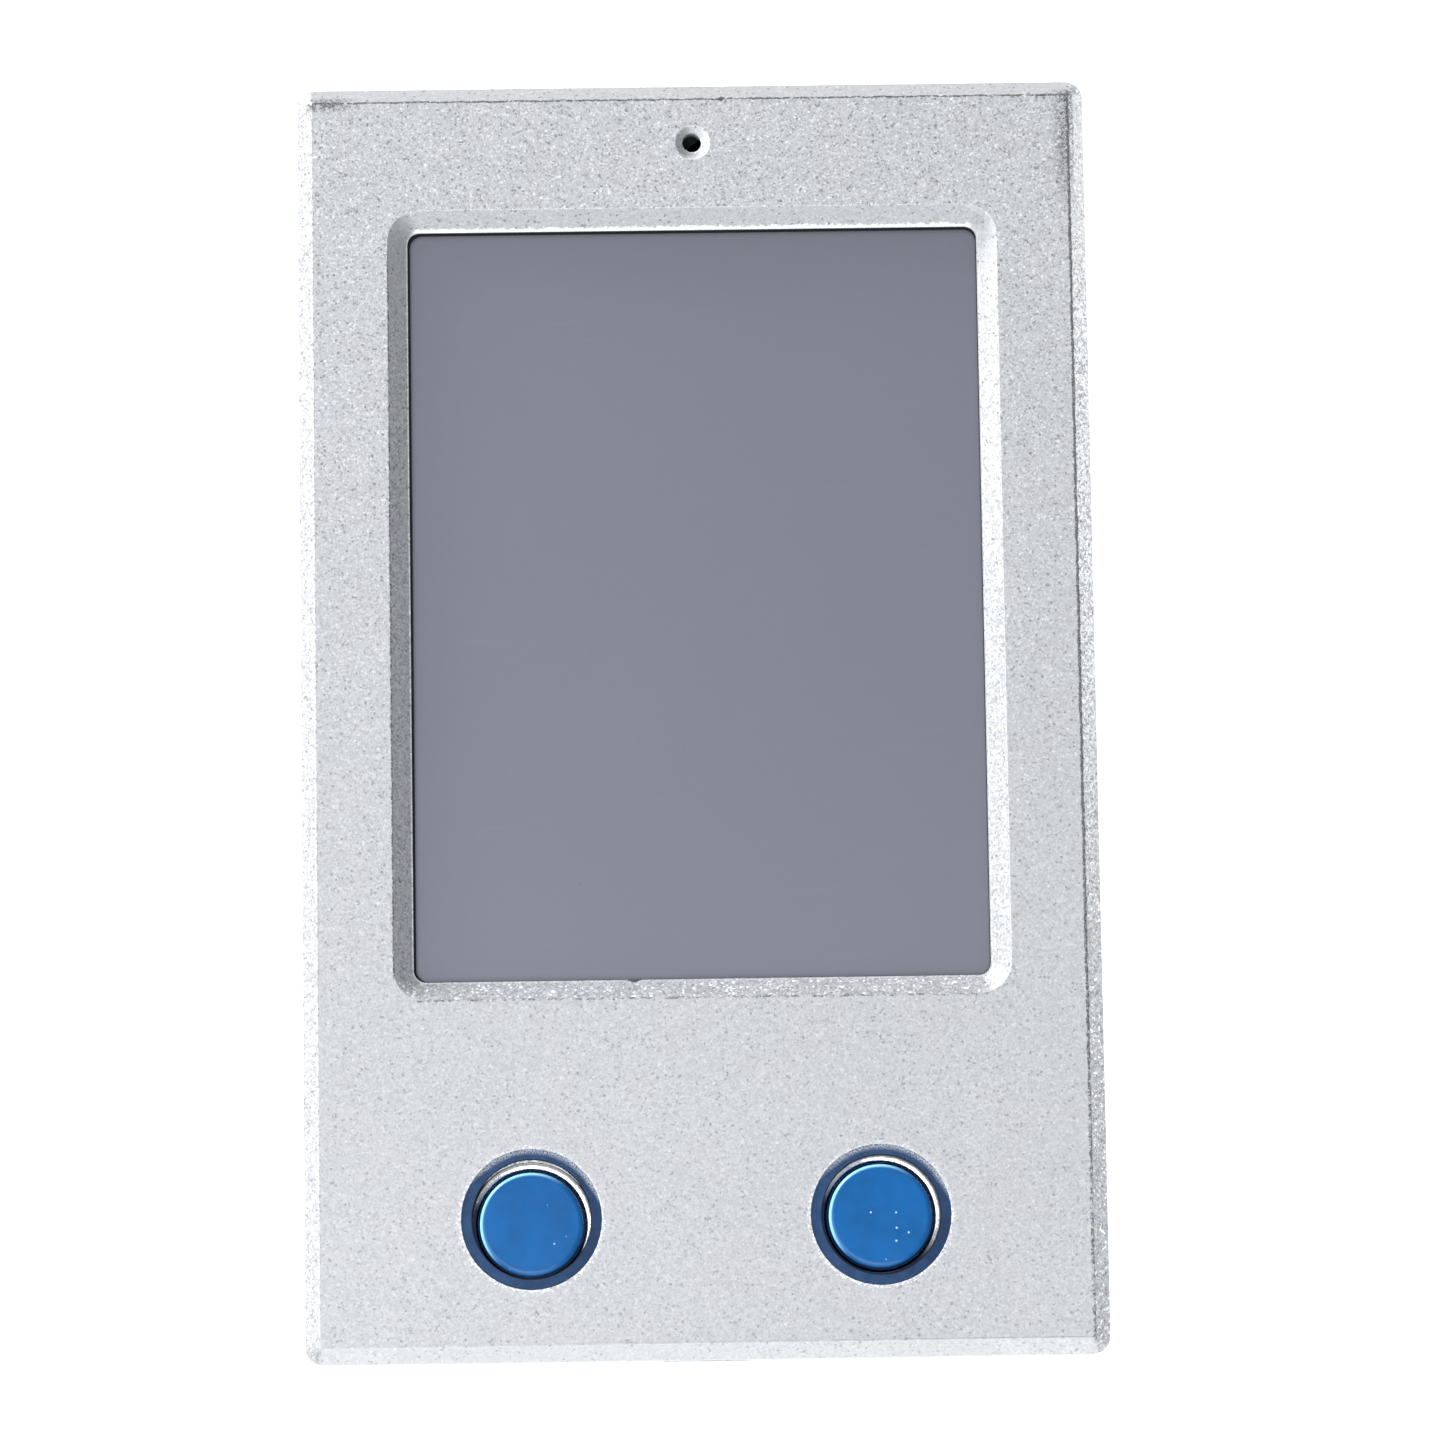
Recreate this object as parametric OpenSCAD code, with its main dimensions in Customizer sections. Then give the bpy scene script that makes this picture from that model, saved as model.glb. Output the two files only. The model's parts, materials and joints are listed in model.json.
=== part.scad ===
// Handheld personal digital assistant: a flat silver case with a recessed screen, two round push
// buttons below it, a microphone hole above it, and a battery behind a sliding door in the back.
// Millimetres. The device lies on its back: +Z points out of the screen and +Y towards the
// microphone end. The origin is the centre of the back face.

/* [Case] */
// Width of the case
body_w = 76; // [75:0.5:78]
// Length of the case
body_l = 122.6; // [122:0.2:125]
// Thickness of the case
body_t = 18; // [18:0.25:19]
// Corner radius of the case outline
corner_r = 1.7; // [1.6:0.1:2.4]
// Width of the bevel round the front and back faces
bevel_w = 1.5; // [1:0.1:1.5]
// Depth of the bevel round the front and back faces
bevel_d = 1.36; // [1:0.02:1.5]
// Thickness of the side walls
side_wall = 1.8; // [1.6:0.1:2]
// Thickness of the front plate
face_wall = 2; // [2:0.1:2.2]
// Height of the seam between the two covers above the back face
seam_z = 7.5; // [7.2:0.1:7.8]

/* [Screen] */
// Width of the window at its inner edge
window_w = 54.9; // [53:0.1:56]
// Length of the window at its inner edge
window_l = 72.5; // [70:0.1:74]
// Distance of the window's centre from the case's centre
window_y = 11; // [10:0.1:12]
// Corner radius of the window at its inner edge
window_r = 1.2; // [0.6:0.1:2]
// Width of the bevel round the window
window_bevel_w = 1.87; // [1.5:0.01:2.1]
// Height of the straight lip under the window's bevel
window_lip = 0.3; // [0.2:0.05:0.5]
// Width of the display and touch panel
panel_w = 64; // [62:0.5:65]
// Border of the panel beyond the window on the button side
panel_border_low = 7.2; // [6:0.1:8]
// Border of the panel beyond the window on the microphone side
panel_border_high = 4; // [3:0.1:4.5]

/* [Buttons] */
// Distance of each button hole from the middle of the case
button_x = 16.5; // [16:0.1:18]
// Distance of the button holes from the case's centre
button_y = -47.9; // [-48.5:0.1:-47]
// Radius of a button's cap
cap_r = 4.88; // [4.6:0.01:4.9]
// Height of a cap's top above the face
cap_rise = 0.4; // [0.4:0.1:0.8]
// Travel of a button
button_travel = 0.35; // [0.2:0.05:0.4]
// Radius of the bore round a cap
button_bore_r = 5.1; // [5.05:0.01:5.2]
// Inner radius of the blue ring
ring_in_r = 5.6; // [5.55:0.01:5.7]
// Outer radius of the blue ring
ring_out_r = 6.65; // [6.4:0.01:6.9]
// Depth of the ring's top below the face
ring_sink = 0.15; // [0.1:0.01:0.3]

/* [Microphone] */
// Radius of the microphone hole
mic_r = 0.88; // [0.7:0.01:1]
// Outer radius of the hole's countersink
mic_mouth_r = 1.68; // [1.5:0.01:1.9]
// Distance of the hole from the case's centre
mic_y = 55.6; // [55.3:0.1:55.7]

/* [Battery] */
// Width of the battery
battery_w = 40; // [38:0.5:40]
// Length of the battery, its end cap included
battery_l = 50; // [46:0.5:50]
// Thickness of the battery
battery_t = 5.2; // [4.6:0.1:5.2]
// Thickness of the battery door
door_t = 1.4; // [1.3:0.1:1.4]
// Width of the battery door
door_w = 46; // [45:0.5:47]
// Length of the battery door
door_l = 62.5; // [62:0.1:63]

/* [Hidden] */
$fn = 64;
cut = 1;    // how far a cutting shape runs past a face
gap = 0.1;  // gap between pieces that are assembled together

// Levels from the front face down to the board
face_z = body_t;
plate_z = face_z - face_wall;
gasket_t = 0.4;
touch_top = plate_z - gasket_t;
touch_t = 1.2;
lcd_top = touch_top - touch_t - gap;
lcd_low = lcd_top - 3.3;
board_top = lcd_low - 1.4;
board_t = 1.6;
board_low = board_top - board_t;

// Levels from the back face up
floor_z = 1.6;
shelf_low = door_t + gap;
shelf_top = 2.6;
battery_z = shelf_low + 0.2;
bay_roof_z = battery_z + battery_t + gap;
bay_roof_t = 0.8;

// Seam between the covers
seam_groove = 0.3;
lip_inset = 0.9;
lip_h = 1.2;

// Screen
panel_y0 = window_y - window_l / 2 - panel_border_low;
panel_y1 = window_y + window_l / 2 + panel_border_high;
panel_l = panel_y1 - panel_y0;
panel_y = (panel_y0 + panel_y1) / 2;
gasket_over = 0.12;
gasket_shift = [0.07, -0.08];
mic_x = 0.1;
mouth_shift = [0.1, -0.13];
lip_flat = 0.14;
bezel_clear = 0.2;
sheet_clear = 2.2;
layer = 0.15;
led_at = [-21, -7, 7, 21];
led_y = panel_y0 + sheet_clear - 0.6;

// Buttons: the caps sit on their switches a little off the centres of the holes in the cover
SIDES = [-1, 1];
cap_shift = [[0, -0.48], [-0.1, -0.15]];
ring_ledge = 0.6;
ledge_z = face_z - ring_ledge;
collar_r = 5.9;
collar_t = 0.6;
collar_dish = 0.11;
cap_top = face_z + cap_rise;
cap_head_low = face_z - 0.25;
cap_edge_r = 0.5;
cap_neck_r = 4.35;
cap_flange_r = 6.2;
cap_flange_t = 1.3;
cap_flange_top = plate_z - 0.4;
stem_w = 3.8;
stem_top = face_z - 1.1;
switch_w = 12;
switch_top = board_top + 3.5;
switch_plate_t = 0.2;
switch_well_z = board_top + 0.8;
switch_well_r = 4.6;
plunger_collar_r = 4;
plunger_shaft_r = 3.4;
dome_r = 4.2;
dome_h = button_travel + 0.45;
dome_t = 0.1;
pin_w = 1;
pin_t = 0.3;
pin_spread = 2.5;

// Screws
case_screw_in = 5.6;
case_screw_r = 1;
case_head_r = 1.9;
case_head_t = 1.3;
case_seat_z = 3;
case_screw_l = 10;
post_r = 3;
board_screw_at = [[-30, -37.5], [30, -37.5], [-22, 55.4], [22, 55.4]];
board_screw_r = 0.8;
board_post_r = 2.2;
board_head_r = 1.5;
board_head_t = 1.1;
board_screw_l = 5;

// Speaker
speaker_y = 38;
speaker_r = 10;
speaker_low = floor_z + 0.6;

// Battery bay
door_y0 = -body_l / 2;
door_y1 = door_y0 + door_l;
door_play = 0.15;
tongue_w = 1;
tongue_low = 0.75;
tongue_top = 1.3;
battery_y1 = -4.5;
battery_y0 = battery_y1 - battery_l;
end_cap_l = 3;
bay_play = 0.5;
bay_wall = 1;
bay_y0 = battery_y0 - bay_play;
bay_y1 = battery_y1 + bay_play;
bay_w = battery_w + 2 * bay_play;
contact_at = [-4, 0, 4];

// Charging and data socket in the bottom end
socket_w = 7.7;
socket_h = 3.9;
socket_wall = 0.35;
socket_y0 = -body_l / 2 + 0.5;
socket_y1 = socket_y0 + 9;

// ---- Shapes that repeat ----

module block(w, l, z0, z1, x = 0, y = 0) {
    translate([x - w / 2, y - l / 2, z0]) cube([w, l, z1 - z0]);
}

module disc(r, z0, z1, x = 0, y = 0) {
    translate([x, y, z0]) cylinder(h = z1 - z0, r = r);
}

// A block with round upright corners
module rounded_block(w, l, r, z0, z1, x = 0, y = 0) {
    block(w - 2 * r, l, z0, z1, x, y);
    block(w, l - 2 * r, z0, z1, x, y);
    for (i = SIDES, j = SIDES)
        disc(r, z0, z1, x + i * (w / 2 - r), y + j * (l / 2 - r));
}

// A block with sloping sides: its corner radius goes from r0 at z0 to r1 at z1 about fixed centres
module sloped_block(w, l, r0, r1, z0, z1, y = 0) {
    a = w / 2 - r0;
    b = l / 2 - r0;
    translate([0, y, 0]) {
        rotate([90, 0, 0]) linear_extrude(2 * b, center = true)
            polygon([[-a - r0, z0], [a + r0, z0], [a + r1, z1], [-a - r1, z1]]);
        rotate([90, 0, 90]) linear_extrude(2 * a, center = true)
            polygon([[-b - r0, z0], [b + r0, z0], [b + r1, z1], [-b - r1, z1]]);
        for (i = SIDES, j = SIDES)
            translate([i * a, j * b, z0]) cylinder(h = z1 - z0, r1 = r0, r2 = r1);
    }
}

// The case outline, inset from the outside
module outline(inset, z0, z1) {
    rounded_block(body_w - 2 * inset, body_l - 2 * inset, max(corner_r - inset, 0.4), z0, z1);
}

// A closed frame of rectangular section
module frame(w, l, wall, z0, z1, x = 0, y = 0) {
    difference() {
        block(w, l, z0, z1, x, y);
        block(w - 2 * wall, l - 2 * wall, z0 - cut, z1 + cut, x, y);
    }
}

module tube(r, r_in, z0, z1, x = 0, y = 0) {
    difference() {
        disc(r, z0, z1, x, y);
        disc(r_in, z0 - cut, z1 + cut, x, y);
    }
}

module at_case_screws() {
    for (i = SIDES, j = SIDES)
        translate([i * (body_w / 2 - case_screw_in), j * (body_l / 2 - case_screw_in), 0])
            children();
}

module at_board_screws() {
    for (p = board_screw_at) translate([p.x, p.y, 0]) children();
}

function hole_at(s) = [s * button_x, button_y];
function cap_at(s) = hole_at(s) + cap_shift[s < 0 ? 0 : 1];

// One edge of a ribbon that leaves (y0, z0), turns down at yb and lies flat again at (y1, z1)
function ribbon_edge(y0, z0, y1, z1, yb, r, d) = concat(
    [[y0, z0 + d]],
    [for (a = [90:15:180]) [yb + r + (r + d) * cos(a), z0 - r + (r + d) * sin(a)]],
    [for (a = [0:-15:-90]) [yb - r + (r - d) * cos(a), z1 + r + (r - d) * sin(a)]],
    [[y1, z1 + d]]
);
function reversed(list) = [for (i = [len(list) - 1:-1:0]) list[i]];

module ribbon(w, t, x, y0, z0, y1, z1, yb, r) {
    translate([x, 0, 0]) rotate([90, 0, 90]) linear_extrude(w, center = true) polygon(concat(
        ribbon_edge(y0, z0, y1, z1, yb, r, t / 2),
        reversed(ribbon_edge(y0, z0, y1, z1, yb, r, -t / 2))
    ));
}

// A pan head screw along +Z with a cross in the head, which is below z
module screw(r, l, head_r, head_t, z) {
    slot_w = head_r * 0.3;
    difference() {
        union() {
            disc(head_r, z - head_t, z);
            disc(r, z, z + l - r);
            translate([0, 0, z + l - r]) cylinder(h = r, r1 = r, r2 = r * 0.3);
        }
        block(head_r * 1.3, slot_w, z - head_t - cut, z - head_t * 0.4);
        block(slot_w, head_r * 1.3, z - head_t - cut, z - head_t * 0.4);
    }
}

// ---- Case ----

module window_cut() {
    rounded_block(window_w, window_l, window_r, plate_z - cut, plate_z + window_lip, 0, window_y);
    sloped_block(window_w + 2 * lip_flat, window_l + 2 * lip_flat, window_r + lip_flat,
        window_r + window_bevel_w, plate_z + window_lip, face_z, window_y);
    rounded_block(window_w + 2 * window_bevel_w, window_l + 2 * window_bevel_w,
        window_r + window_bevel_w, face_z, face_z + cut, 0, window_y);
}

module button_cut(s) {
    p = hole_at(s);
    q = cap_at(s);
    disc(button_bore_r, plate_z - cut, ledge_z - collar_t, q.x, q.y);
    disc(collar_r, ledge_z - collar_t, ledge_z, q.x, q.y);
    disc(ring_out_r, ledge_z, face_z + cut, p.x, p.y);
}

module mic_cut() {
    sink = mic_mouth_r - mic_r;
    mouth = [mic_x, mic_y] + mouth_shift;
    disc(mic_r, plate_z - cut, face_z, mic_x, mic_y);
    translate([mouth.x, mouth.y, face_z - sink]) cylinder(h = sink, r1 = mic_r, r2 = mic_mouth_r);
    disc(mic_mouth_r, face_z, face_z + cut, mouth.x, mouth.y);
}

module seam_cut() {
    difference() {
        outline(-cut, seam_z - cut, seam_z + seam_groove);
        outline(seam_groove, seam_z - 2 * cut, seam_z + seam_groove + cut);
    }
}

// Four bosses for the case screws, each tied to the walls by two ribs, and four board posts
module cover_bosses() {
    rib_w = 0.9;
    rib_z = seam_z + lip_h + 0.4;
    in = case_screw_in;
    at_case_screws() disc(post_r, seam_z + gap, plate_z + gap);
    for (i = SIDES, j = SIDES) {
        x = i * (body_w / 2 - in / 2 - 0.6);
        y = j * (body_l / 2 - in / 2 - 0.6);
        block(in - 2, rib_w, rib_z, plate_z + gap, x, j * (body_l / 2 - in));
        block(rib_w, in - 2, rib_z, plate_z + gap, i * (body_w / 2 - in), y);
    }
    at_board_screws() disc(board_post_r, board_top, plate_z + gap);
}

// Ribs that hold the display sideways
module display_ribs() {
    rib_t = 0.8;
    for (i = SIDES, y = [panel_y - 28, panel_y, panel_y + 28])
        block(rib_t, 10, lcd_low + 1, plate_z + gap, i * (panel_w / 2 + 0.3 + rib_t / 2), y);
    for (x = [-17, 17])
        block(8, rib_t, lcd_low + 1, plate_z + gap, x, panel_y1 + 0.3 + rib_t / 2);
}

module front_cover() color([0.82, 0.83, 0.85]) {
    difference() {
        union() {
            difference() {
                union() {
                    outline(0, seam_z, face_z - bevel_d);
                    sloped_block(body_w, body_l, corner_r, corner_r - bevel_w,
                        face_z - bevel_d, face_z);
                }
                outline(side_wall, seam_z - cut, plate_z);
                outline(lip_inset, seam_z - cut, seam_z + lip_h + gap);
                seam_cut();
            }
            cover_bosses();
            display_ribs();
        }
        window_cut();
        for (s = SIDES) button_cut(s);
        mic_cut();
        at_case_screws() disc(case_screw_r, seam_z - cut, case_seat_z + case_screw_l + 0.5);
        at_board_screws() disc(board_screw_r, board_top - cut, board_low + board_screw_l + 0.5);
        block(socket_w + 0.6, side_wall + 2 * cut, board_top - 0.3, board_top + socket_h + 0.4,
            0, -body_l / 2 + side_wall / 2);
    }
}

module bay_solids() {
    shelf = 5;
    // Shelf over the door's edges
    block(bay_w + 2 * shelf, bay_y0 - (-body_l / 2 + side_wall) + gap, shelf_low, shelf_top,
        0, (bay_y0 - body_l / 2 + side_wall) / 2);
    block(bay_w + 2 * shelf, shelf + 2.5, shelf_low, shelf_top, 0, bay_y1 + (shelf + 2.5) / 2);
    for (i = SIDES)
        block(shelf, bay_y1 - bay_y0 + 2, shelf_low, shelf_top,
            i * (bay_w + shelf) / 2, (bay_y0 + bay_y1) / 2);
    // Walls and roof of the bay
    block(bay_w + 2 * bay_wall, bay_y1 - bay_y0 + 2 * bay_wall, shelf_low, bay_roof_z + bay_roof_t,
        0, (bay_y0 + bay_y1) / 2);
}

module bay_cut() {
    block(bay_w, bay_y1 - bay_y0, -cut, bay_roof_z, 0, (bay_y0 + bay_y1) / 2);
    block(12.4, 4, shelf_top, bay_roof_z + bay_roof_t + cut, 0, bay_y1 + 1);
}

// The recess that the door slides in, with a groove along each side
module door_cut() {
    end = body_l / 2 + cut;
    block(door_w + 2 * door_play, door_y1 + door_play + end, -cut, shelf_low,
        0, (door_y1 + door_play - end) / 2);
    block(door_w + 2 * tongue_w + 2 * door_play, door_y1 + door_play + end,
        tongue_low - door_play, tongue_top + door_play, 0, (door_y1 + door_play - end) / 2);
}

module grille_cut() {
    slot = 1.2;
    for (d = [-5.2:2.6:5.2]) {
        half = sqrt(pow(7.6, 2) - pow(d, 2)) - slot / 2;
        block(2 * half, slot, -cut, floor_z + cut, 0, speaker_y + d);
        for (i = SIDES) disc(slot / 2, -cut, floor_z + cut, i * half, speaker_y + d);
    }
}

module rear_cover() color([0.80, 0.81, 0.83]) {
    difference() {
        union() {
            difference() {
                union() {
                    sloped_block(body_w - 2 * bevel_w, body_l - 2 * bevel_w,
                        corner_r - bevel_w, corner_r, 0, bevel_d);
                    outline(0, bevel_d, seam_z);
                    outline(lip_inset + gap, seam_z - cut, seam_z + lip_h);
                }
                outline(side_wall, floor_z, seam_z + lip_h + cut);
            }
            at_case_screws() disc(post_r, floor_z - gap, seam_z);
            bay_solids();
            tube(speaker_r + 1.4, speaker_r + 0.3, floor_z - gap, floor_z + 3, 0, speaker_y);
        }
        bay_cut();
        door_cut();
        grille_cut();
        at_case_screws() disc(case_head_r + 0.2, -cut, case_seat_z);
        at_case_screws() disc(case_screw_r + 0.1, -cut, seam_z + cut);
    }
}

module battery_door() color([0.80, 0.81, 0.83]) {
    reach = body_l / 2 - bevel_w;
    difference() {
        union() {
            intersection() {
                union() {
                    sloped_block(body_w - 2 * bevel_w, body_l - 2 * bevel_w,
                        corner_r - bevel_w, corner_r, 0, bevel_d);
                    outline(0, bevel_d, door_t);
                }
                block(door_w, door_l, -cut, door_t + cut, 0, door_y0 + door_l / 2);
            }
            block(door_w + 2 * tongue_w, door_y1 + reach, tongue_low, tongue_top,
                0, (door_y1 - reach) / 2);
        }
        // Finger grooves
        for (k = [0:5]) block(18, 0.9, -cut, 0.4, 0, door_y0 + 9 + 1.8 * k);
    }
}

// ---- Screen ----

module window_gasket() color([0.06, 0.06, 0.07]) {
    difference() {
        block(panel_w - 1, panel_l - 1, touch_top, plate_z, 0, panel_y);
        rounded_block(window_w - 2 * gasket_over, window_l - 2 * gasket_over, window_r,
            touch_top - cut, plate_z + cut, gasket_shift.x, window_y + gasket_shift.y);
    }
}

module touch_panel() color([0.52, 0.53, 0.58]) {
    rounded_block(panel_w, panel_l, 0.6, touch_top - touch_t, touch_top, 0, panel_y);
}

module touch_flex() color([0.75, 0.45, 0.15]) {
    ribbon(6, 0.15, 20, panel_y0, touch_top - touch_t + 0.2, panel_y0 - 5.6, board_top + 0.8,
        panel_y0 - 2.6, 1);
}

module connector(w, l, h, x, y) {
    difference() {
        block(w, l, board_top, board_top + h, x, y);
        block(w - 1.2, l, board_top + 0.6, board_top + 1, x, y + l / 2);
    }
}

module touch_connector() color([0.92, 0.9, 0.84]) {
    connector(8.4, 3, 1.5, 20, panel_y0 - 5.8);
}

module display_connector() color([0.92, 0.9, 0.84]) {
    connector(23.4, 3, 1.5, 0, panel_y0 - 5.8);
}

module lcd_bezel() color([0.72, 0.73, 0.75]) {
    w = panel_w - 2 * bezel_clear;
    l = panel_l - 2 * bezel_clear;
    sheet = 0.3;
    difference() {
        block(w, l, lcd_low, lcd_top, 0, panel_y);
        block(w - 2 * sheet, l - 2 * sheet, lcd_low - cut, lcd_top - sheet, 0, panel_y);
        block(window_w + 2, window_l + 2, lcd_low - cut, lcd_top + cut, 0, window_y);
        block(22, 2, lcd_top - 1.2, lcd_top - 0.6, 0, panel_y0);
    }
}

// A flat layer of the display, inset inside the bezel
module display_layer(inset, z0, z1) {
    block(panel_w - 2 * inset, panel_l - 2 * inset, z0, z1, 0, panel_y);
}

module lcd_panel() color([0.42, 0.43, 0.47]) {
    display_layer(0.6, lcd_top - 1.4, lcd_top - 0.35);
}

module diffuser_sheet() color([0.95, 0.95, 0.96]) {
    display_layer(sheet_clear + 0.1, lcd_top - 1.4 - gap - layer, lcd_top - 1.4 - gap);
}

module light_guide() color([0.88, 0.93, 0.95]) {
    display_layer(sheet_clear + 0.1, lcd_low + 0.65, lcd_top - 1.75);
}

module reflector_sheet() color([0.97, 0.97, 0.97]) {
    display_layer(sheet_clear + 0.1, lcd_low + 0.65 - gap - layer, lcd_low + 0.65 - gap);
}

module backlight_frame() color([0.96, 0.96, 0.94]) {
    difference() {
        display_layer(0.6, lcd_low + 0.1, lcd_top - 1.45);
        display_layer(sheet_clear, lcd_low + 0.35, lcd_top);
        for (x = led_at) block(3.3, 1.4, lcd_low + 0.55, lcd_top, x, led_y);
    }
}

module backlight_leds() color([0.98, 0.95, 0.75]) {
    for (x = led_at) block(3, 1, lcd_low + 0.65, lcd_low + 1.45, x, led_y);
}

module lcd_flex() color([0.75, 0.45, 0.15]) {
    ribbon(21, 0.15, 0, panel_y0, lcd_top - 0.9, panel_y0 - 5.6, board_top + 0.8,
        panel_y0 - 2.6, 1);
    block(21, 0.6 + gap, lcd_top - 0.975, lcd_top - 0.825, 0, panel_y0 + 0.25);
}

module display_pads() color([0.2, 0.2, 0.22]) {
    for (i = SIDES, y = [panel_y - 32, panel_y + 34])
        block(8, 5, board_top, lcd_low + 0.1, i * (panel_w / 2 - 7), y);
}

// ---- Board ----

module main_board() color([0.05, 0.32, 0.16]) {
    edge = side_wall + 0.4;
    notch = 9.2;
    difference() {
        block(body_w - 2 * edge, body_l - 2 * edge, board_low, board_top);
        for (i = SIDES, j = SIDES)
            block(notch, notch, board_low - cut, board_top + cut,
                i * (body_w / 2 - notch / 2), j * (body_l / 2 - notch / 2));
        at_board_screws() disc(board_screw_r + 0.2, board_low - cut, board_top + cut);
        for (s = SIDES, i = SIDES, j = SIDES)
            disc(0.65, board_low - cut, board_top + cut, cap_at(s).x + i * (switch_w / 2 + pin_t / 2),
                cap_at(s).y + j * pin_spread);
    }
}

module processor_chip() color([0.1, 0.1, 0.11]) {
    block(17, 17, board_top, board_top + 1.1, -9, 22);
}

module memory_chips() color([0.1, 0.1, 0.11]) {
    for (y = [14, 30]) block(11, 8, board_top, board_top + 1, 11, y);
}

module power_chip() color([0.12, 0.12, 0.13]) {
    block(7, 7, board_top, board_top + 0.9, -18, -6);
}

module audio_chip() color([0.12, 0.12, 0.13]) {
    block(6, 6, board_top, board_top + 0.9, 4, 43);
}

module crystal() color([0.78, 0.78, 0.76]) {
    rounded_block(5, 3.2, 0.5, board_top, board_top + 1, -9, 36);
}

module inductors() color([0.2, 0.19, 0.19]) {
    for (x = [-30, -23]) rounded_block(5, 5, 1, board_low - 2.2, board_low, x, 14);
}

module chip_passives() color([0.62, 0.5, 0.36]) {
    for (k = [0:5]) {
        block(0.9, 1.6, board_top, board_top + 0.7, -18.4 + 2.2 * k, 9.5);
        block(1.6, 0.9, board_top, board_top + 0.7, 21, 10 + 2.4 * k);
        block(0.9, 1.6, board_top, board_top + 0.7, -23 + 2.2 * k, 0.5);
    }
}

// ---- Buttons ----

module button_ring(s) color([0.2, 0.3, 0.45]) {
    p = hole_at(s);
    tube(ring_out_r, ring_in_r, ledge_z, face_z - ring_sink, p.x, p.y);
}

// A bright collar round the cap, partly hidden by the blue ring that lies on it
module button_collar(s) color([0.85, 0.86, 0.87]) {
    p = cap_at(s);
    translate([p.x, p.y, 0]) rotate_extrude() polygon([
        [button_bore_r, ledge_z - collar_t], [collar_r, ledge_z - collar_t],
        [collar_r, ledge_z], [button_bore_r, ledge_z - collar_dish]
    ]);
}

module button_cap(s) color([0.15, 0.43, 0.71]) {
    p = cap_at(s);
    e = cap_edge_r;
    flange_low = cap_flange_top - cap_flange_t;
    difference() {
        translate([p.x, p.y, 0]) rotate_extrude() polygon(concat(
            [[0, flange_low], [cap_flange_r, flange_low], [cap_flange_r, cap_flange_top],
                [cap_neck_r, cap_flange_top], [cap_neck_r, cap_head_low], [cap_r, cap_head_low]],
            [for (a = [0:10:90]) [cap_r - e + e * cos(a), cap_top - e + e * sin(a)]],
            [[0, cap_top]]
        ));
        block(stem_w + 0.1, stem_w + 0.1, flange_low - cut, stem_top + gap, p.x, p.y);
    }
}

module switch_housing(s) color([0.08, 0.08, 0.09]) {
    p = cap_at(s);
    difference() {
        block(switch_w, switch_w, board_top, switch_top - switch_plate_t, p.x, p.y);
        disc(switch_well_r, switch_well_z, switch_top, p.x, p.y);
    }
}

module switch_cover(s) color([0.78, 0.79, 0.8]) {
    p = cap_at(s);
    difference() {
        block(switch_w, switch_w, switch_top - switch_plate_t, switch_top, p.x, p.y);
        disc(plunger_shaft_r + 0.15, switch_top - cut, switch_top + cut, p.x, p.y);
    }
}

module switch_plunger(s) color([0.1, 0.1, 0.11]) {
    p = cap_at(s);
    nib_low = switch_well_z + dome_t + dome_h + 0.03;
    collar_top = switch_top - switch_plate_t - 0.05;
    disc(1.3, nib_low, collar_top, p.x, p.y);
    disc(plunger_collar_r, collar_top - 0.9, collar_top, p.x, p.y);
    disc(plunger_shaft_r, collar_top - 0.1, switch_top + 1, p.x, p.y);
    block(stem_w, stem_w, switch_top + 0.5, stem_top, p.x, p.y);
}

// A snap dome: a thin spherical cap whose rim stands on the floor of the housing's well
module switch_dome(s) color([0.8, 0.8, 0.78]) {
    p = cap_at(s);
    ball_r = (pow(dome_r, 2) + pow(dome_h, 2)) / (2 * dome_h);
    half = asin(dome_r / ball_r);
    translate([p.x, p.y, switch_well_z + dome_t + dome_h - ball_r]) rotate_extrude() polygon(concat(
        [for (k = [0:6]) ball_r * [sin(half * k / 6), cos(half * k / 6)]],
        [for (k = [6:-1:0]) (ball_r - dome_t) * [sin(half * k / 6), cos(half * k / 6)]]
    ));
}

module switch_pins() color([0.8, 0.78, 0.7]) {
    for (s = SIDES, i = SIDES, j = SIDES)
        block(pin_t, pin_w, board_low - gap, board_top + 1.6,
            cap_at(s).x + i * (switch_w / 2 + pin_t / 2), cap_at(s).y + j * pin_spread);
}

// ---- Sound ----

module microphone() color([0.75, 0.75, 0.74]) {
    disc(2, plate_z - 3.2, plate_z - 1, mic_x, mic_y);
    for (i = SIDES) disc(0.25, board_top, plate_z - 3.1, mic_x + i * 0.9, mic_y);
}

module microphone_boot() color([0.12, 0.12, 0.13]) {
    difference() {
        disc(2.9, board_top, plate_z, mic_x, mic_y);
        disc(2.05, plate_z - 3.25, plate_z - 1, mic_x, mic_y);
        disc(1, plate_z - 1 - cut, plate_z - 0.5, mic_x, mic_y);
        disc(1.5, plate_z - 0.5, plate_z + cut, mic_x, mic_y);
        for (i = SIDES) disc(0.3, board_top - cut, plate_z - 3, mic_x + i * 0.9, mic_y);
    }
}

module microphone_felt() color([0.05, 0.05, 0.05]) {
    disc(1.45, plate_z - 0.5, plate_z - 0.05, mic_x, mic_y);
}

module speaker_cloth() color([0.1, 0.1, 0.11]) {
    disc(9.4, floor_z, floor_z + 0.2, 0, speaker_y);
}

module speaker_gasket() color([0.14, 0.14, 0.15]) {
    tube(speaker_r - 0.1, 8.2, floor_z + 0.2, speaker_low, 0, speaker_y);
}

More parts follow.
